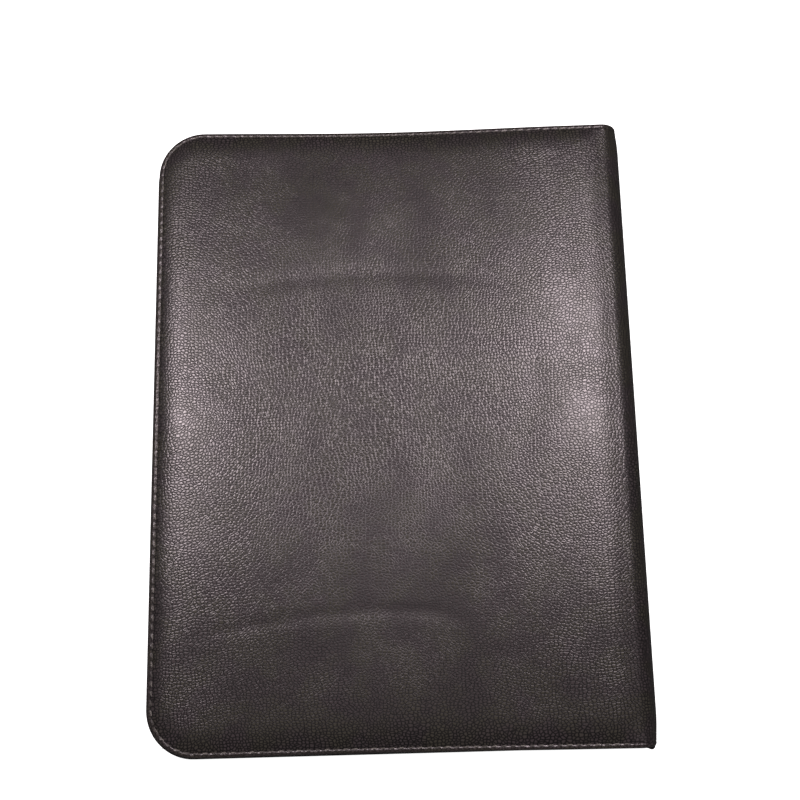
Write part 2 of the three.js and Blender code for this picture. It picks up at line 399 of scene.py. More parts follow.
def slab(name, cover, outline, depths, body, slot, material, stands_for=(), radii=(0, 0, 0, 0),
         rounding=0.3, step=6.0, shape=None, coarse=None):
    """A flat piece that follows a cover at its depth, with round edges.

    outline is s and v, low and high. radii are those of the corners: foot-free, foot-spine, head-spine
    and head-free. shape, if there is one, moves the points: it takes and returns s, v and depth.
    """
    (s0, s1), (v0, v1) = outline
    rounding = min(rounding, (depths[1] - depths[0]) / 2)
    fine = np.array([0, 1, 2.2, 3.8, 6])
    s = rounding + graded(s1 - s0 - 2 * rounding, fine, step)
    v = rounding + graded(v1 - v0 - 2 * rounding, fine, coarse or step)
    grid_s, grid_v = np.meshgrid(s, v, indexing="ij")
    wide, long = s1 - s0, v1 - v0
    a, b = round_box(grid_s, grid_v, wide, long, radii)
    rows, columns = a.shape
    number = np.arange(rows * columns).reshape(rows, columns)
    loop = np.concatenate([number[:, 0], number[-1, 1:], number[-2::-1, -1], number[0, -2:0:-1]])
    loop_a, loop_b = a.ravel()[loop], b.ravel()[loop]
    around = np.stack([loop_a, loop_b], -1)
    tangent = np.roll(around, -1, axis=0) - np.roll(around, 1, axis=0)
    out = np.stack([tangent[:, 1], -tangent[:, 0]], -1) / np.maximum(np.hypot(*tangent.T), 1e-6)[:, None]

    def points_at(x, y, depth):
        x, y, depth = x + s0, y + v0, np.full_like(x, depth)
        if shape:
            x, y, depth = shape(x, y, depth)
        return np.stack([x, y, depth], -1).reshape(-1, 3)

    low, high = depths
    turns = [math.radians(angle) for angle in (30, 60, 90)]
    profile = [(rounding * math.sin(t), low + rounding * (1 - math.cos(t))) for t in turns]
    profile += [(outer, high - (depth - low)) for outer, depth in profile[::-1]]
    flats = [points_at(a, b, low)]
    for outer, depth in profile:
        flats.append(points_at(loop_a + out[:, 0] * outer, loop_b + out[:, 1] * outer, depth))
    flats.append(points_at(a, b, high))
    flat = np.concatenate(flats)
    first = rows * columns
    flip = cover.turn > 0
    faces = [grid_faces(rows, columns, flip)]
    rings = [loop] + [first + k * len(loop) + np.arange(len(loop)) for k in range(len(profile))]
    second = first + len(profile) * len(loop)
    rings.append(second + loop)
    faces += [ring_faces(inner, outer, not flip, closed=True) for inner, outer in zip(rings[:-1], rings[1:])]
    faces.append(grid_faces(rows, columns, not flip) + second)
    points = cover.place(flat[:, 0], flat[:, 1], flat[:, 2])
    rim = box_edge(flat[:, 0] - s0, flat[:, 1] - v0, wide, long)
    return mesh(name, points, np.concatenate(faces), body, material,
                {"hide": flat, "rim": rim, "seam": flat[:, 0] * 0}, stands_for)


def box_edge(a, b, wide, long):
    return np.minimum(np.minimum(a, wide - a), np.minimum(b, long - b))


def round_box(a, b, wide, long, radii):
    """Pulls a square grid into corners of the given radii."""
    a, b = a.copy(), b.copy()
    corners = [(0, 0), (1, 0), (1, 1), (0, 1)]
    for (right, high), radius in zip(corners, radii):
        if radius <= 0:
            continue
        x = wide - a if right else a
        y = long - b if high else b
        inside = (x < radius) & (y < radius)
        near = np.minimum(x, y)
        span = np.maximum(radius - near, 1e-6)
        share = np.where(y <= x, (radius - x) / span / 2, 1 - (radius - y) / span / 2)
        angle = np.clip(share, 0, 1) * math.pi / 2
        new_x = np.where(inside, radius - span * np.sin(angle), x)
        new_y = np.where(inside, radius - span * np.cos(angle), y)
        a = wide - new_x if right else new_x
        b = long - new_y if high else new_y
    return a, b


def stitches(name, cover, path, height, body, material, stands_for=(),
             pitch=STITCH_PITCH, length=STITCH_LENGTH, radius=0.3, seed=1, inside=False):
    """Single stitches along a path of s and v, their ends sunk into the leather."""
    path = np.asarray(path, float)
    steps = np.hypot(*np.diff(path, axis=0).T)
    distance = np.concatenate([[0], np.cumsum(steps)])
    chance = random.Random(seed)
    sides = 7
    t = np.linspace(-1, 1, 7)
    swell = radius * np.sqrt(np.maximum(1 - 0.75 * t ** 4, 0.05))
    lift = 0.55 * radius - (radius * 1.9) * t ** 4
    around = np.linspace(0, 2 * math.pi, sides, endpoint=False)
    all_points, all_faces, lengths = [], [], []
    count = 0
    for k in range(int(distance[-1] / pitch)):
        at = (k + 0.5) * pitch + chance.uniform(-0.12, 0.12)
        slant = math.radians(6 + chance.uniform(-4, 4))
        reach = length / 2 * chance.uniform(0.93, 1.06)
        high = chance.uniform(-0.05, 0.06)
        middle = np.array([np.interp(at, distance, path[:, i]) for i in (0, 1)])
        ahead = np.array([np.interp(at + 0.5, distance, path[:, i]) for i in (0, 1)]) - middle
        ahead = ahead / np.hypot(*ahead)
        along = np.array([ahead[0] * math.cos(slant) - ahead[1] * math.sin(slant),
                          ahead[0] * math.sin(slant) + ahead[1] * math.cos(slant)])
        across = np.array([-along[1], along[0]])
        centre = middle + t[:, None] * reach * along
        flat = centre[:, None] + (swell[:, None] * np.cos(around))[..., None] * across
        up = lift[:, None] + high + swell[:, None] * np.sin(around)
        surface = height(flat[..., 0], flat[..., 1])
        depth = -surface + up if inside else -surface - up
        points = cover.place(flat[..., 0], flat[..., 1], depth).reshape(-1, 3)
        body_faces = []
        for ring in range(len(t) - 1):
            here = count + ring * sides + np.arange(sides)
            body_faces.append(ring_faces(here, here + sides, closed=True))
        all_faces += [tuple(f) for f in np.concatenate(body_faces)]
        last = count + (len(t) - 1) * sides
        all_faces += [tuple(count + np.arange(sides)[::-1]), tuple(last + np.arange(sides))]
        all_points.append(points)
        which = np.full(len(points), k)
        lengths.append(np.stack([np.repeat(t * reach, sides), np.tile(around, len(t)), which], -1))
        count += len(points)
    hide = np.concatenate(lengths)
    piece = mesh(name, np.concatenate(all_points), all_faces, body, material,
                 {"hide": hide}, stands_for)
    recalculate(piece)
    return piece


def recalculate(piece):
    """Turns all the faces of a closed mesh outwards."""
    work = bmesh.new()
    work.from_mesh(piece.data)
    bmesh.ops.recalc_face_normals(work, faces=work.faces)
    work.to_mesh(piece.data)
    work.free()


def edge_path(cover, inset, end):
    """The path along the three free edges, at one distance from them, from the spine end at the foot."""
    radius = CORNER_RADIUS - inset
    arc = np.linspace(0, math.pi / 2, 24)
    low, high = cover.foot + CORNER_RADIUS, cover.head - CORNER_RADIUS
    foot = np.stack([CORNER_RADIUS - radius * np.sin(arc), low - radius * np.cos(arc)], -1)
    head = np.stack([CORNER_RADIUS - radius * np.cos(arc), high + radius * np.sin(arc)], -1)
    return np.concatenate([[[end, cover.foot + inset]], foot, head, [[end, cover.head - inset]]])


# ---------------------------------------------------------------- materials

GRAIN_HEIGHT = 0.060
GRAIN_ROUGHNESS = 0.255


class Value:
    """A number that a shader works out over the surface, used in Python expressions."""

    def __init__(self, shader, socket):
        self.shader = shader
        self.socket = socket

    def _math(self, operation, first, second):
        return self.shader.node("ShaderNodeMath", {"operation": operation}, {0: first, 1: second})

    def __add__(self, other):
        return self._math("ADD", self, other)

    def __radd__(self, other):
        return self._math("ADD", other, self)

    def __sub__(self, other):
        return self._math("SUBTRACT", self, other)

    def __rsub__(self, other):
        return self._math("SUBTRACT", other, self)

    def __mul__(self, other):
        return self._math("MULTIPLY", self, other)

    def __rmul__(self, other):
        return self._math("MULTIPLY", other, self)


class Shader:
    """A material and the few kinds of node that its finishes share."""

    def __init__(self, name, **constants):
        self.material = bpy.data.materials.new(name)
        self.material.use_nodes = True
        self.tree = self.material.node_tree
        self.surface = self.tree.nodes["Principled BSDF"]
        for socket, value in constants.items():
            self.surface.inputs[socket.replace("_", " ")].default_value = value

    def node(self, kind, settings=None, inputs=None, output=0):
        made = self.tree.nodes.new(kind)
        for key, value in (settings or {}).items():
            setattr(made, key, value)
        for key, value in (inputs or {}).items():
            if isinstance(value, Value):
                self.tree.links.new(value.socket, made.inputs[key])
            else:
                made.inputs[key].default_value = value
        return Value(self, made.outputs[output])

    def attribute(self, name, output="Vector"):
        return self.node("ShaderNodeAttribute", {"attribute_name": name}, output=output)

    def place(self):
        return self.node("ShaderNodeTexCoord", output="Object")

    def scaled(self, vector, factors):
        return self.node("ShaderNodeVectorMath", {"operation": "MULTIPLY"}, {0: vector, 1: factors})

    def shifted(self, vector, by):
        return self.node("ShaderNodeVectorMath", {"operation": "ADD"}, {0: vector, 1: by})

    def axis(self, vector, name):
        return self.node("ShaderNodeSeparateXYZ", inputs={0: vector}, output=name)

    def noise(self, vector, scale, detail=3.0, roughness=0.5, distortion=0.0, output="Fac"):
        return self.node("ShaderNodeTexNoise", inputs={
            "Vector": vector, "Scale": scale, "Detail": detail, "Roughness": roughness,
            "Distortion": distortion}, output=output)

    def cells(self, vector, scale, feature="F1", randomness=1.0, smoothness=0.5, output="Distance"):
        inputs = {"Vector": vector, "Scale": scale, "Randomness": randomness}
        if feature == "SMOOTH_F1":
            inputs["Smoothness"] = smoothness
        settings = {"voronoi_dimensions": "2D", "feature": feature}
        return self.node("ShaderNodeTexVoronoi", settings, inputs, output)

    def wave(self, vector, scale, direction="X", profile="SIN", distortion=0.0, detail=0.0):
        return self.node("ShaderNodeTexWave", {"bands_direction": direction, "wave_profile": profile},
                         {"Vector": vector, "Scale": scale, "Distortion": distortion, "Detail": detail},
                         output="Fac")

    def remap(self, value, low, high, to_low=0.0, to_high=1.0, smooth=True):
        kind = "SMOOTHSTEP" if smooth else "LINEAR"
        return self.node("ShaderNodeMapRange", {"interpolation_type": kind}, {
            "Value": value, "From Min": low, "From Max": high, "To Min": to_low, "To Max": to_high})

    def mix(self, factor, first, second):
        """A colour between two colours."""
        def socket(value):
            return value if isinstance(value, Value) else (*value, 1)
        return self.node("ShaderNodeMix", {"data_type": "RGBA"},
                         {"Factor": factor, 6: socket(first), 7: socket(second)}, output=2)

    def raised(self, height, distance, strength=1.0, normal=None):
        inputs = {"Height": height, "Distance": distance * MM, "Strength": strength}
        if normal is not None:
            inputs["Normal"] = normal
        return self.node("ShaderNodeBump", inputs=inputs, output="Normal")

    def set(self, **sockets):
        for name, value in sockets.items():
            self.tree.links.new(value.socket, self.surface.inputs[name.replace("_", " ")])
        return self.material


def pebbled_leather():
    """Soft black-brown hide with a pebble grain under two millimetres, with painted shade darkening the
    valleys between the pebbles.
    """
    shader = Shader("pebbled_leather", Specular_IOR_Level=0.45, Specular_Tint=(1, 0.914, 0.932, 1))
    hide = shader.attribute("hide")
    rim = shader.attribute("rim", "Fac")
    seam = shader.attribute("seam", "Fac")

    # The grain runs in drifts, so its pebbles are stretched one way here and another there
    drift = shader.noise(hide, 0.018, detail=1.0, output="Color")
    bent = shader.shifted(hide, shader.scaled(shader.shifted(drift, (-0.5, -0.5, -0.5)), (12.0, 12.0, 0.0)))
    ragged = shader.noise(hide, 0.40, detail=1.0, output="Color")
    bent = shader.shifted(bent, shader.scaled(shader.shifted(ragged, (-0.5, -0.5, -0.5)), (0.5, 0.5, 0.0)))
    grain = shader.scaled(bent, (0.57, 0.70, 1.0))
    border = shader.cells(grain, 1.0, "DISTANCE_TO_EDGE", randomness=0.9)
    fine = shader.cells(grain, 2.6, "SMOOTH_F1", smoothness=0.5)
    pores = shader.noise(hide, 3.0, detail=2.0)
    patch = shader.noise(hide, 0.030, detail=2.0)
    cloud = shader.noise(hide, 0.060, detail=3.0)

    slope = shader.remap(border, 0.0, 0.46, 1.0, 0.0, smooth=False)
    dome = 1.0 - slope * slope
    # pebble is 0 in the valleys between the pebbles and 1 on them: it puts painted shade into the valleys'
    # colour and makes them a little rougher.
    pebble = shader.remap(border, 0.02, 0.34)
    height = dome - 0.06 * fine + 0.06 * pores
    # The grain is pressed flatter along the seam and drawn in at each stitch
    pressed = shader.remap(rim, 1.0, 9.0, 0.45, 1.0)
    amount = pressed * shader.remap(patch, 0.30, 0.70, 0.85, 1.2)
    pull = shader.node("ShaderNodeMath", {"operation": "SINE"}, {0: seam * (2 * math.pi / STITCH_PITCH)})
    near_seam = shader.remap(rim, 0.6, SEAM_INSET) * shader.remap(rim, SEAM_INSET, 5.0, 1.0, 0.0)
    grained = shader.raised(height * amount, GRAIN_HEIGHT)
    normal = shader.raised(pull * near_seam, 0.10, normal=grained)

    hue = shader.remap(shader.noise(hide, 0.06, detail=2.0), 0.40, 0.60)
    # The near-black colours in the valleys, blotched by cloud, are painted shade; the colours called light
    # are the hide's own colour on the pebbles.
    dark = shader.mix(cloud, (0.0022, 0.0022, 0.0023), (0.0048, 0.0043, 0.0043))
    light = shader.mix(patch, (0.033, 0.0285, 0.0277), (0.049, 0.0368, 0.0412))
    light = shader.mix(hue * 0.75, light, (0.037, 0.0350, 0.0245))
    colour = shader.mix(pebble, dark, light)
    at_edge = shader.remap(rim, 2.4, 0.4) * shader.remap(rim, -3.0, 0.0)
    worn = at_edge * shader.remap(pores, 0.42, 0.62)
    colour = shader.mix(worn * 0.3, colour, (0.12, 0.10, 0.09))
    rough = GRAIN_ROUGHNESS + 0.06 * (1.0 - pebble) + 0.08 * (cloud - 0.5)
    return shader.set(Base_Color=colour, Roughness=rough, Normal=normal)


def pocket_leather():
    """Thinner leather of the pockets, with a finer, flatter grain."""
    shader = Shader("pocket_leather", Specular_IOR_Level=0.5)
    hide = shader.attribute("hide")
    rim = shader.attribute("rim", "Fac")
    drift = shader.noise(hide, 0.3, detail=2.0, output="Color")
    bent = shader.shifted(hide, shader.scaled(shader.shifted(drift, (-0.5, -0.5, -0.5)), (1.6, 1.6, 0.0)))
    grain = shader.scaled(bent, (0.64, 0.76, 1.0))
    valley = shader.cells(grain, 1.0, "DISTANCE_TO_EDGE")
    dome = shader.cells(grain, 1.0, "SMOOTH_F1")
    pores = shader.noise(hide, 2.5)
    cloud = shader.noise(hide, 0.03, detail=4.0)
    crack = shader.remap(valley, 0.0, 0.28)
    normal = shader.raised(crack * (1.0 - 0.6 * dome) + 0.10 * pores, 0.16)
    colour = shader.mix(crack, (0.007, 0.006, 0.006), (0.040, 0.033, 0.033))
    colour = shader.mix(shader.remap(cloud, 0.3, 0.8) * 0.35, colour, (0.055, 0.047, 0.045))
    worn = shader.remap(rim, 1.2, 0.1) * shader.remap(pores, 0.4, 0.65)
    colour = shader.mix(worn * 0.4, colour, (0.13, 0.11, 0.10))
    rough = 0.46 - 0.08 * crack + 0.12 * cloud
    return shader.set(Base_Color=colour, Roughness=rough, Normal=normal)


def twill_lining():
    """Black lining cloth woven in a fine twill."""
    shader = Shader("twill_lining", Specular_IOR_Level=0.3, Sheen_Weight=0.25, Sheen_Roughness=0.4)
    hide = shader.attribute("hide")
    x, y = shader.axis(hide, "X"), shader.axis(hide, "Y")
    turn = 2 * math.pi / 0.9
    warp = shader.node("ShaderNodeMath", {"operation": "SINE"}, {0: (x + y) * turn})
    weft = shader.node("ShaderNodeMath", {"operation": "SINE"}, {0: (x - y * 0.35) * (turn * 1.7)})
    fuzz = shader.noise(hide, 4.0)
    cloud = shader.noise(hide, 0.04, detail=3.0)
    thread = shader.remap(warp * 0.7 + weft * 0.3 + 0.3 * fuzz, -0.9, 1.0)
    normal = shader.raised(thread, 0.10)
    colour = shader.mix(thread, (0.008, 0.0075, 0.0075), (0.034, 0.031, 0.031))
    colour = shader.mix(cloud * 0.3, colour, (0.045, 0.042, 0.040))
    return shader.set(Base_Color=colour, Roughness=0.92 - 0.15 * thread, Normal=normal)


def waxed_thread():
    """Grey-beige sewing thread, twisted from plies."""
    shader = Shader("waxed_thread", Specular_IOR_Level=0.4)
    hide = shader.attribute("hide")
    along, round_it, which = (shader.axis(hide, name) for name in "XYZ")
    ply = shader.node("ShaderNodeMath", {"operation": "SINE"}, {0: along * 7.0 + round_it * 2.0})
    soil = shader.noise(hide, 0.8, detail=2.0)
    each = shader.node("ShaderNodeMath", {"operation": "SINE"}, {0: which * 2.4})
    colour = shader.mix(shader.remap(ply, -1.0, 1.0), (0.085, 0.075, 0.068), (0.25, 0.225, 0.205))
    colour = shader.mix(shader.remap(soil + 0.25 * each, 0.2, 0.9), (0.06, 0.052, 0.048), colour)
    return shader.set(Base_Color=colour, Roughness=0.62 + 0.1 * soil, Normal=shader.raised(ply, 0.05))


def elastic_webbing():
    """Black elastic, ribbed across its width."""
    shader = Shader("elastic_webbing", Specular_IOR_Level=0.3, Sheen_Weight=0.2)
    place = shader.place()
    rib = shader.wave(place, 260.0, "Y")
    knit = shader.wave(place, 420.0, "Z")
    fuzz = shader.noise(place, 2500.0)
    colour = shader.mix(rib, (0.010, 0.0095, 0.0095), (0.040, 0.037, 0.037))
    height = rib * 0.8 + knit * 0.2 + 0.2 * fuzz
    return shader.set(Base_Color=colour, Roughness=0.85 - 0.1 * rib, Normal=shader.raised(height, 0.12))


def plain_fibre(name, dark, light, speck_scale, fibre_scale, roughness, relief):
    """Foam, board and card: a speckled, matt material with some fibre in it."""
    shader = Shader(name, Specular_IOR_Level=0.25)
    place = shader.place()
    speck = shader.noise(place, speck_scale, detail=4.0, roughness=0.7)
    fibre = shader.noise(shader.scaled(place, (1.0, 0.25, 1.0)), fibre_scale, detail=2.0, distortion=1.5)
    colour = shader.mix(shader.remap(speck * 0.6 + fibre * 0.4, 0.3, 0.7), dark, light)
    rough = roughness + 0.1 * (speck - 0.5)
    return shader.set(Base_Color=colour, Roughness=rough, Normal=shader.raised(speck + 0.5 * fibre, relief))


def ruled_paper():
    """Off-white writing paper with pale ruled lines; the block's sides show its sheets."""
    shader = Shader("ruled_paper", Specular_IOR_Level=0.25)
    hide = shader.attribute("hide")
    place = shader.place()
    x, y, depth = (shader.axis(hide, name) for name in "XYZ")
    pitch = 7.1
    line = shader.node("ShaderNodeMath", {"operation": "PINGPONG"}, {0: y, 1: pitch / 2})
    ruled = shader.remap(line, 0.0, 0.22, 1.0, 0.0) * shader.remap(y, 116.0, 117.0, 1.0, 0.0)
    ruled = ruled * shader.remap(y, -140.0, -139.0)
    margin = shader.remap(x, 38.0, 38.2) * shader.remap(x, 38.4, 38.6, 1.0, 0.0)
    fibre = shader.noise(place, 900.0, detail=4.0)
    warm = shader.noise(place, 14.0)
    colour = shader.mix(fibre * 0.5 + warm * 0.5, (0.74, 0.72, 0.655), (0.82, 0.81, 0.76))
    colour = shader.mix(ruled * 0.6, colour, (0.30, 0.42, 0.60))
    colour = shader.mix(margin * 0.6, colour, (0.65, 0.24, 0.24))
    sheet = shader.node("ShaderNodeMath", {"operation": "SINE"}, {0: depth * (2 * math.pi / 0.22)})
    height = fibre * 0.3 + sheet * 0.5
    rough = 0.88 + 0.06 * (fibre - 0.5)
    return shader.set(Base_Color=colour, Roughness=rough, Normal=shader.raised(height, 0.04))


LEATHER_LOOK = pebbled_leather()
POCKET_LOOK = pocket_leather()
LINING_LOOK = twill_lining()
THREAD_LOOK = waxed_thread()
ELASTIC_LOOK = elastic_webbing()
FOAM_LOOK = plain_fibre("padding_foam", (0.035, 0.035, 0.036), (0.10, 0.10, 0.10), 1600.0, 700.0, 0.9, 0.15)
BOARD_LOOK = plain_fibre("grey_board", (0.17, 0.15, 0.125), (0.30, 0.27, 0.23), 900.0, 500.0, 0.88, 0.06)
CARD_LOOK = plain_fibre("backing_card", (0.27, 0.20, 0.13), (0.42, 0.33, 0.23), 1100.0, 600.0, 0.85, 0.05)
TAPE_LOOK = plain_fibre("binding_tape", (0.014, 0.014, 0.016), (0.045, 0.045, 0.05), 1500.0, 900.0, 0.7, 0.06)
PAPER_LOOK = ruled_paper()


# ---------------------------------------------------------------- pieces

def give(node, material):
    """Finishes a piece of the frame that stays as it is."""
    piece = frame["nodes"][node]
    piece.data.materials.clear()
    piece.data.materials.append(material)


def outer_leather():
    back = skin("back_cover_leather", BACK, LEATHER_LOOK, 1.7, BACK_CREASES, ["back_leather"])
    front = skin("front_cover_leather", FRONT, LEATHER_LOOK, 3.2, [], ["front_leather", "spine_leather"])
    bend(front, lower=True)
    bend(back, lower=False)


def bend(piece, lower):
    """Works out where a piece would bend round a shoulder of the spine but does not use it; it only bakes the
    piece's transform into its mesh.
    """
    clear = 1.2
    if lower:
        start = (SHOULDER + clear, 0, clear)
        end = (SPINE_FACE - clear, 0, SHOULDER_RADIUS - clear)
    else:
        start = (SPINE_FACE - clear, 0, SPINE_HEIGHT - SHOULDER_RADIUS + clear)
        end = (SHOULDER + clear, 0, SPINE_HEIGHT - clear)
    tuple(c * MM for c in start)
    tuple(c * MM for c in end)
    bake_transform(piece)


def cut_sheet(outline, waste):
    """Works out what size a sheet is cut to, its outline less the waste in mm2 of its corners and cuts, and
    does nothing more with it.
    """
    wide, long = outline[0][1] - outline[0][0], outline[1][1] - outline[1][0]
    wide * MM
    long * MM
    (wide * long - waste) * MM * MM


def layers(cover, name, body):
    """Padding, board and lining of one cover, and both sides of its seam."""
    inset = 3.0
    outline = ((inset, cover.straight - 0.5), (cover.foot + inset, cover.head - inset))
    radii = (CORNER_RADIUS - inset, 0, 0, CORNER_RADIUS - inset)
    foam = slab(f"{name}_foam", cover, outline, (PADDING_FACE, BOARD_FACE - 0.15), body, "foam", FOAM_LOOK,
                [f"{name}_padding"], radii, rounding=0.5)
    slab(f"{name}_stiff_board", cover, outline, (BOARD_FACE, BOARD_BACK), body, "board", BOARD_LOOK,
         [f"{name}_board"], radii, rounding=0.2)
    inset = 1.1
    outline = ((inset, cover.straight - 0.5), (cover.foot + inset, cover.head - inset))
    radii = (CORNER_RADIUS - inset, 0, 0, CORNER_RADIUS - inset)
    lining = slab(f"{name}_cloth_lining", cover, outline, (TURN_IN + 0.02, LINING_FACE), body, "lining",
                  LINING_LOOK, [f"{name}_lining"], radii, rounding=0.19, step=4.0)
    cut_sheet(outline, (2 - math.pi / 2) * (CORNER_RADIUS - inset) ** 2)

    def outside(s, v):
        return cover.relief(s, v, cover.from_edge(s, v))

    def inside(s, v):
        return -LINING_FACE + 0.1 + 0 * s

    path = edge_path(cover, SEAM_INSET, cover.straight - 5)
    stitches(f"{name}_seam_outside", cover, path, outside, body, THREAD_LOOK, [f"{name}_stitching"], seed=3)
    stitches(f"{name}_seam_inside", cover, path, inside, body, THREAD_LOOK, radius=0.2, seed=4, inside=True)


def extent(node, cover):
    """Where a flat piece of the frame is on a cover: its low and high s, v and depth."""
    points = np.array([corner.co for corner in frame["nodes"][node].data.vertices]) / MM
    flat = points[:, [0, 2]] - cover.start
    along = np.array([math.cos(cover.slope), math.sin(cover.slope)])
    inward = cover.turn * np.array([-along[1], along[0]])
    place = np.stack([flat @ along, points[:, 1], flat @ inward], -1)
    return place.min(0), place.max(0)


def plate(name, node, cover, body, slot, material, **options):
    """A flat piece of the frame, made to follow its soft cover."""
    low, high = extent(node, cover)
    outline = ((low[0], high[0]), (low[1], high[1]))
    piece = slab(name, cover, outline, (low[2], high[2]), body, slot, material, [node], **options)
    return piece, low, high


def flat_seam(name, cover, path, depth, body, seed):
    """A fine seam on the inner face of a flat piece."""
    def inside(s, v):
        return -depth + 0 * s

    stitches(name, cover, path, inside, body, THREAD_LOOK, pitch=FINE_PITCH, length=FINE_LENGTH,
             radius=FINE_THREAD, seed=seed, inside=True)


def document_pocket():
    """The pocket for loose sheets, its mouth cut on a curve and hemmed."""
    low, high = extent("document_pocket", FRONT)
    rise = 22.0
    corner_radius = 18.0

    def mouth(s):
        return high[1] - rise * (1 - ((high[0] - s) / (high[0] - low[0])) ** 2)

    def shape(s, v, depth):
        share = np.clip((v - low[1]) / (high[1] - low[1]), 0, 1)
        hem = 0.12 * smoothstep(0.955, 0.965, share) * (depth > (low[2] + high[2]) / 2)
        return s, low[1] + (v - low[1]) * (mouth(s) - low[1]) / (high[1] - low[1]), depth + hem

    panel, low, high = plate("document_pocket_panel", "document_pocket", FRONT, "front_cover",
                             "pocket_leather", POCKET_LOOK, radii=(corner_radius, 0, 0, 0), rounding=0.2,
                             step=4.0, shape=shape)
    waste = (high[0] - low[0]) * rise * 2 / 3 + (1 - math.pi / 4) * corner_radius ** 2
    cut_sheet(((low[0], high[0]), (low[1], high[1])), waste)
    inset = 1.8
    turn = np.linspace(0, math.pi / 2, 12)
    radius = corner_radius - inset
    middle = low[:2] + corner_radius
    corner = np.stack([middle[0] - radius * np.sin(turn), middle[1] - radius * np.cos(turn)], -1)
    left, right = low[0] + inset, high[0] - inset
    spine_side = [[right, mouth(right) - 2], [right, low[1] + inset]]
    path = np.concatenate([spine_side, corner, [[left, mouth(left) - 2]]])
    flat_seam("document_pocket_side_seam", FRONT, path, high[2], "front_cover", 11)
    across = np.linspace(left + 2, right - 2, 30)
    path = np.stack([across, mouth(across) - 5.2], -1)
    flat_seam("document_pocket_hem_seam", FRONT, path, high[2], "front_cover", 12)


def card_slots():
    """Four shingled card slots on the pocket, each sewn along its mouth and up to the next one's."""
    corner_radius = 1.5
    seam_inset = 1.5
    mouth_inset = 2.2
    places = []
    for k in range(1, 5):
        name = f"card_slot_{k}_panel"
        panel, low, high = plate(name, f"card_slot_{k}", FRONT, "front_cover", "pocket_leather", POCKET_LOOK,
                                 radii=(corner_radius,) * 4, rounding=0.15, step=5.0)
        outline = ((low[0], high[0]), (low[1], high[1]))
        cut_sheet(outline, (4 - math.pi) * corner_radius ** 2)
        places.append((low, high))
    for k, (low, high) in enumerate(places):
        end = places[k + 1][0][0] - 1 if k < 3 else high[0] - seam_inset
        for side, v in (("foot", low[1] + seam_inset), ("head", high[1] - seam_inset)):
            path = [[low[0] + 1, v], [end, v]]
            flat_seam(f"card_slot_{k + 1}_{side}_seam", FRONT, path, high[2], "front_cover", 20 + k)
        path = [[low[0] + mouth_inset, low[1] + 3], [low[0] + mouth_inset, high[1] - 3]]
        flat_seam(f"card_slot_{k + 1}_mouth_seam", FRONT, path, high[2], "front_cover", 30 + k)


def pad_sleeve():
    """The sleeve's panel on its three raised edges, open to the head."""
    low, high = extent("pad_sleeve", BACK)
    panel = 0.6
    rim = 1.5
    cut_depth = 16
    cut_reach = 26
    face = high[2] - panel
    (s0, v0), (s1, v1) = low[:2], high[:2]

    def thumb_cut(s, v, depth):
        # A shallow cut in the mouth to take the pad out by
        dip = cut_depth * np.exp(-((s - (s0 + s1) / 2) / cut_reach) ** 4)
        share = smoothstep(v1 - 60, v1, v)
        return s, v - dip * share, depth

    outline = ((s0, s1), (v0, v1))
    sleeve = slab("pad_sleeve_panel", BACK, outline, (face, high[2]), "back_cover", "pocket_leather",
                  POCKET_LOOK, ["pad_sleeve"], rounding=0.25, step=4.0, shape=thumb_cut)
    cut_sheet(outline, 2 * math.gamma(1.25) * cut_reach * cut_depth)
    strips = {"foot": ((s0, s1), (v0, v0 + rim)), "free": ((s0, s0 + rim), (v0 + rim, v1 - 3)),
              "spine": ((s1 - rim, s1), (v0 + rim, v1 - 3))}
    for side, outline in strips.items():
        slab(f"pad_sleeve_{side}_edge", BACK, outline, (low[2], face), "back_cover", "pocket_leather",
             POCKET_LOOK, rounding=0.2)
    inset = 0.85
    path = [[s1 - inset, v1 - 4], [s1 - inset, v0 + inset], [s0 + inset, v0 + inset], [s0 + inset, v1 - 4]]
    flat_seam("pad_sleeve_seam", BACK, path, high[2], "back_cover", 41)


def writing_pad():
    """Card, sheets and head tape of the pad; the tape is folded over the first sheet."""
    radii = (3, 3, 0, 0)
    flap_width = 17
    plate("pad_backing_card", "pad_backing", BACK, "writing_pad", "card", CARD_LOOK, radii=radii,
          rounding=0.15)
    _, low, high = plate("pad_sheets", "paper_block", BACK, "writing_pad", "paper", PAPER_LOOK,
                         radii=radii, rounding=0.08)
    _, _, tape_high = plate("pad_head_tape", "pad_binding", BACK, "writing_pad", "binding_tape",
                            TAPE_LOOK, rounding=0.24, step=8.0)
    flap = ((low[0], high[0]), (high[1] - flap_width, tape_high[1]))
    slab("pad_tape_flap", BACK, flap, (high[2] + 0.01, high[2] + 0.13), "writing_pad", "binding_tape",
         TAPE_LOOK, rounding=0.05)


def gusset(name, cover, stands_for):
    """Half of the spine's lining, from the lining of a cover to the middle of the spine."""
    inner = 4.05
    thickness = 0.28
    lap = 7.0

    def shape(s, v, depth):
        on_cover = 1 - smoothstep(cover.straight - 3, cover.straight + 5, s)
        return s, v, depth + (LINING_FACE - inner + 0.03) * on_cover

    outline = ((cover.straight - lap, cover.end + 0.2), (cover.foot + 2.2, cover.head - 2.2))
    piece = slab(name, cover, outline, (inner, inner + thickness), None, "lining", LINING_LOOK, stands_for,
                 rounding=0.12, step=1.2, shape=shape, coarse=6.0)
    if cover.turn > 0:
        bend(piece, lower=True)
    else:
        bend(piece, lower=False)
    # Inside the bend it is shorter than the outer leather
    shorter = (inner + thickness / 2) * (math.pi / 2 + abs(cover.slope))
    cut_sheet(((outline[0][0], outline[0][1] - shorter), outline[1]), 0)


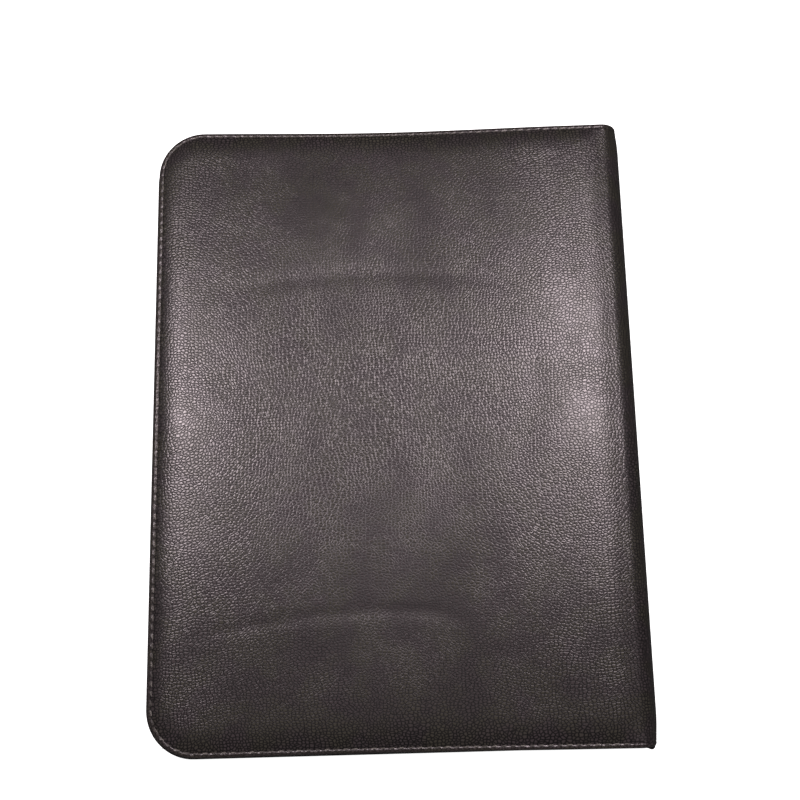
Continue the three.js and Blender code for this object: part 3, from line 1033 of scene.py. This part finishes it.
def pen_loop():
    """An oval loop of elastic, its edges a little thinner than its middle."""
    low, high = box_mm("pen_loop")
    middle = (low + high) / 2
    half = (high - low) / 2
    wall = 0.8
    ends = [0, 0.25, 0.8, 2.0, 5.0, 10, 18, 25, 32, 40, 45, 48, 49.2, 49.75, 50]
    count = 40
    turn = np.linspace(0, 2 * math.pi, count, endpoint=False)
    points, faces = [], []
    rings = []
    for inner in (False, True):
        for end in (ends[::-1] if inner else ends):
            near = min(end, 50 - end)
            thin = 0.5 * wall * (1 - min(near / 0.8, 1)) ** 2
            away = wall - thin if inner else thin
            ripple = 0.05 * np.cos(3 * turn + end / 6)
            x = middle[0] + (half[0] - away - 0.05 + ripple) * np.cos(turn)
            z = middle[2] + (half[2] - away - 0.05 + ripple) * np.sin(turn)
            rings.append(len(points) * count + np.arange(count))
            points.append(np.stack([x, np.full(count, low[1] + end), z], -1))
    for first, second in zip(rings, rings[1:] + rings[:1]):
        faces.append(ring_faces(first, second, closed=True))
    piece = mesh("pen_loop_elastic", np.concatenate(points), np.concatenate(faces), "spine",
                 ELASTIC_LOOK, stands_for=["pen_loop"])
    recalculate(piece)


outer_leather()
layers(FRONT, "front", "front_cover")
layers(BACK, "back", "back_cover")
document_pocket()
card_slots()
pad_sleeve()
writing_pad()
gusset("front_gusset_lining", FRONT, ["spine_lining"])
gusset("back_gusset_lining", BACK, [])
pen_loop()
give("spine_padding", FOAM_LOOK)
give("spine_stiffener", BOARD_LOOK)


# ---------------------------------------------------------------- light, floor and camera

def area_light(name, place, aim, size, power, colour=(1, 0.93, 0.95)):
    data = bpy.data.lights.new(name, "AREA")
    data.shape = "RECTANGLE"
    data.size, data.size_y = size
    data.energy = power
    data.color = colour
    light = bpy.data.objects.new(name, data)
    bpy.context.scene.collection.objects.link(light)
    light.location = place
    direction = Vector(aim) - Vector(place)
    light.rotation_euler = direction.to_track_quat("-Z", "Y").to_euler()


def lights():
    world = bpy.data.worlds.new("studio")
    bpy.context.scene.world = world
    world.use_nodes = True
    tree = world.node_tree
    room = tree.nodes["Background"]
    room.inputs["Color"].default_value = (1, 1, 1, 1)
    room.inputs["Strength"].default_value = 0.075
    white = tree.nodes.new("ShaderNodeBackground")
    white.inputs["Color"].default_value = (1, 1, 1, 1)
    seen = tree.nodes.new("ShaderNodeLightPath")
    mix = tree.nodes.new("ShaderNodeMixShader")
    tree.links.new(seen.outputs["Is Camera Ray"], mix.inputs[0])
    tree.links.new(room.outputs[0], mix.inputs[1])
    tree.links.new(white.outputs[0], mix.inputs[2])
    tree.links.new(mix.outputs[0], tree.nodes["World Output"].inputs["Surface"])
    area_light("left", (-0.285, 0.135, 0.65), (0.0, 0.0, 0.0), (0.16, 0.16), 3.2)
    area_light("right", (0.215, 0.165, 0.65), (0.0, 0.0, 0.0), (0.24, 0.18), 3.9)
    bpy.context.scene.view_settings.view_transform = "Standard"


def floor():
    """A plain white floor that doesn't light the underside of the cover's edges."""
    size = 3.0
    points = np.array([[-size, -size, 0], [size, -size, 0], [size, size, 0], [-size, size, 0]])
    data = bpy.data.meshes.new("floor")
    data.from_pydata(points.tolist(), [], [(0, 1, 2, 3)])
    ground = bpy.data.objects.new("floor", data)
    bpy.context.scene.collection.objects.link(ground)
    white = Shader("floor", Base_Color=(0.8, 0.8, 0.8, 1), Roughness=0.9, Emission_Color=(1, 1, 1, 1),
                   Emission_Strength=1.0)
    data.materials.append(white.material)
    ground.visible_diffuse = False
    ground.visible_glossy = False
    ground.visible_shadow = False


def camera():
    """Above the cover and a little towards its foot, turned a little clockwise."""
    data = bpy.data.cameras.new("camera")
    data.sensor_width = 36.0
    data.lens = 45.0
    eye = bpy.data.objects.new("camera", data)
    bpy.context.scene.collection.objects.link(eye)
    eye.location = (-0.0096, -0.0840, 0.5148)
    eye.rotation_euler = (math.radians(11.016), math.radians(-1.253), math.radians(-1.322))
    bpy.context.scene.camera = eye


camera()
floor()
lights()
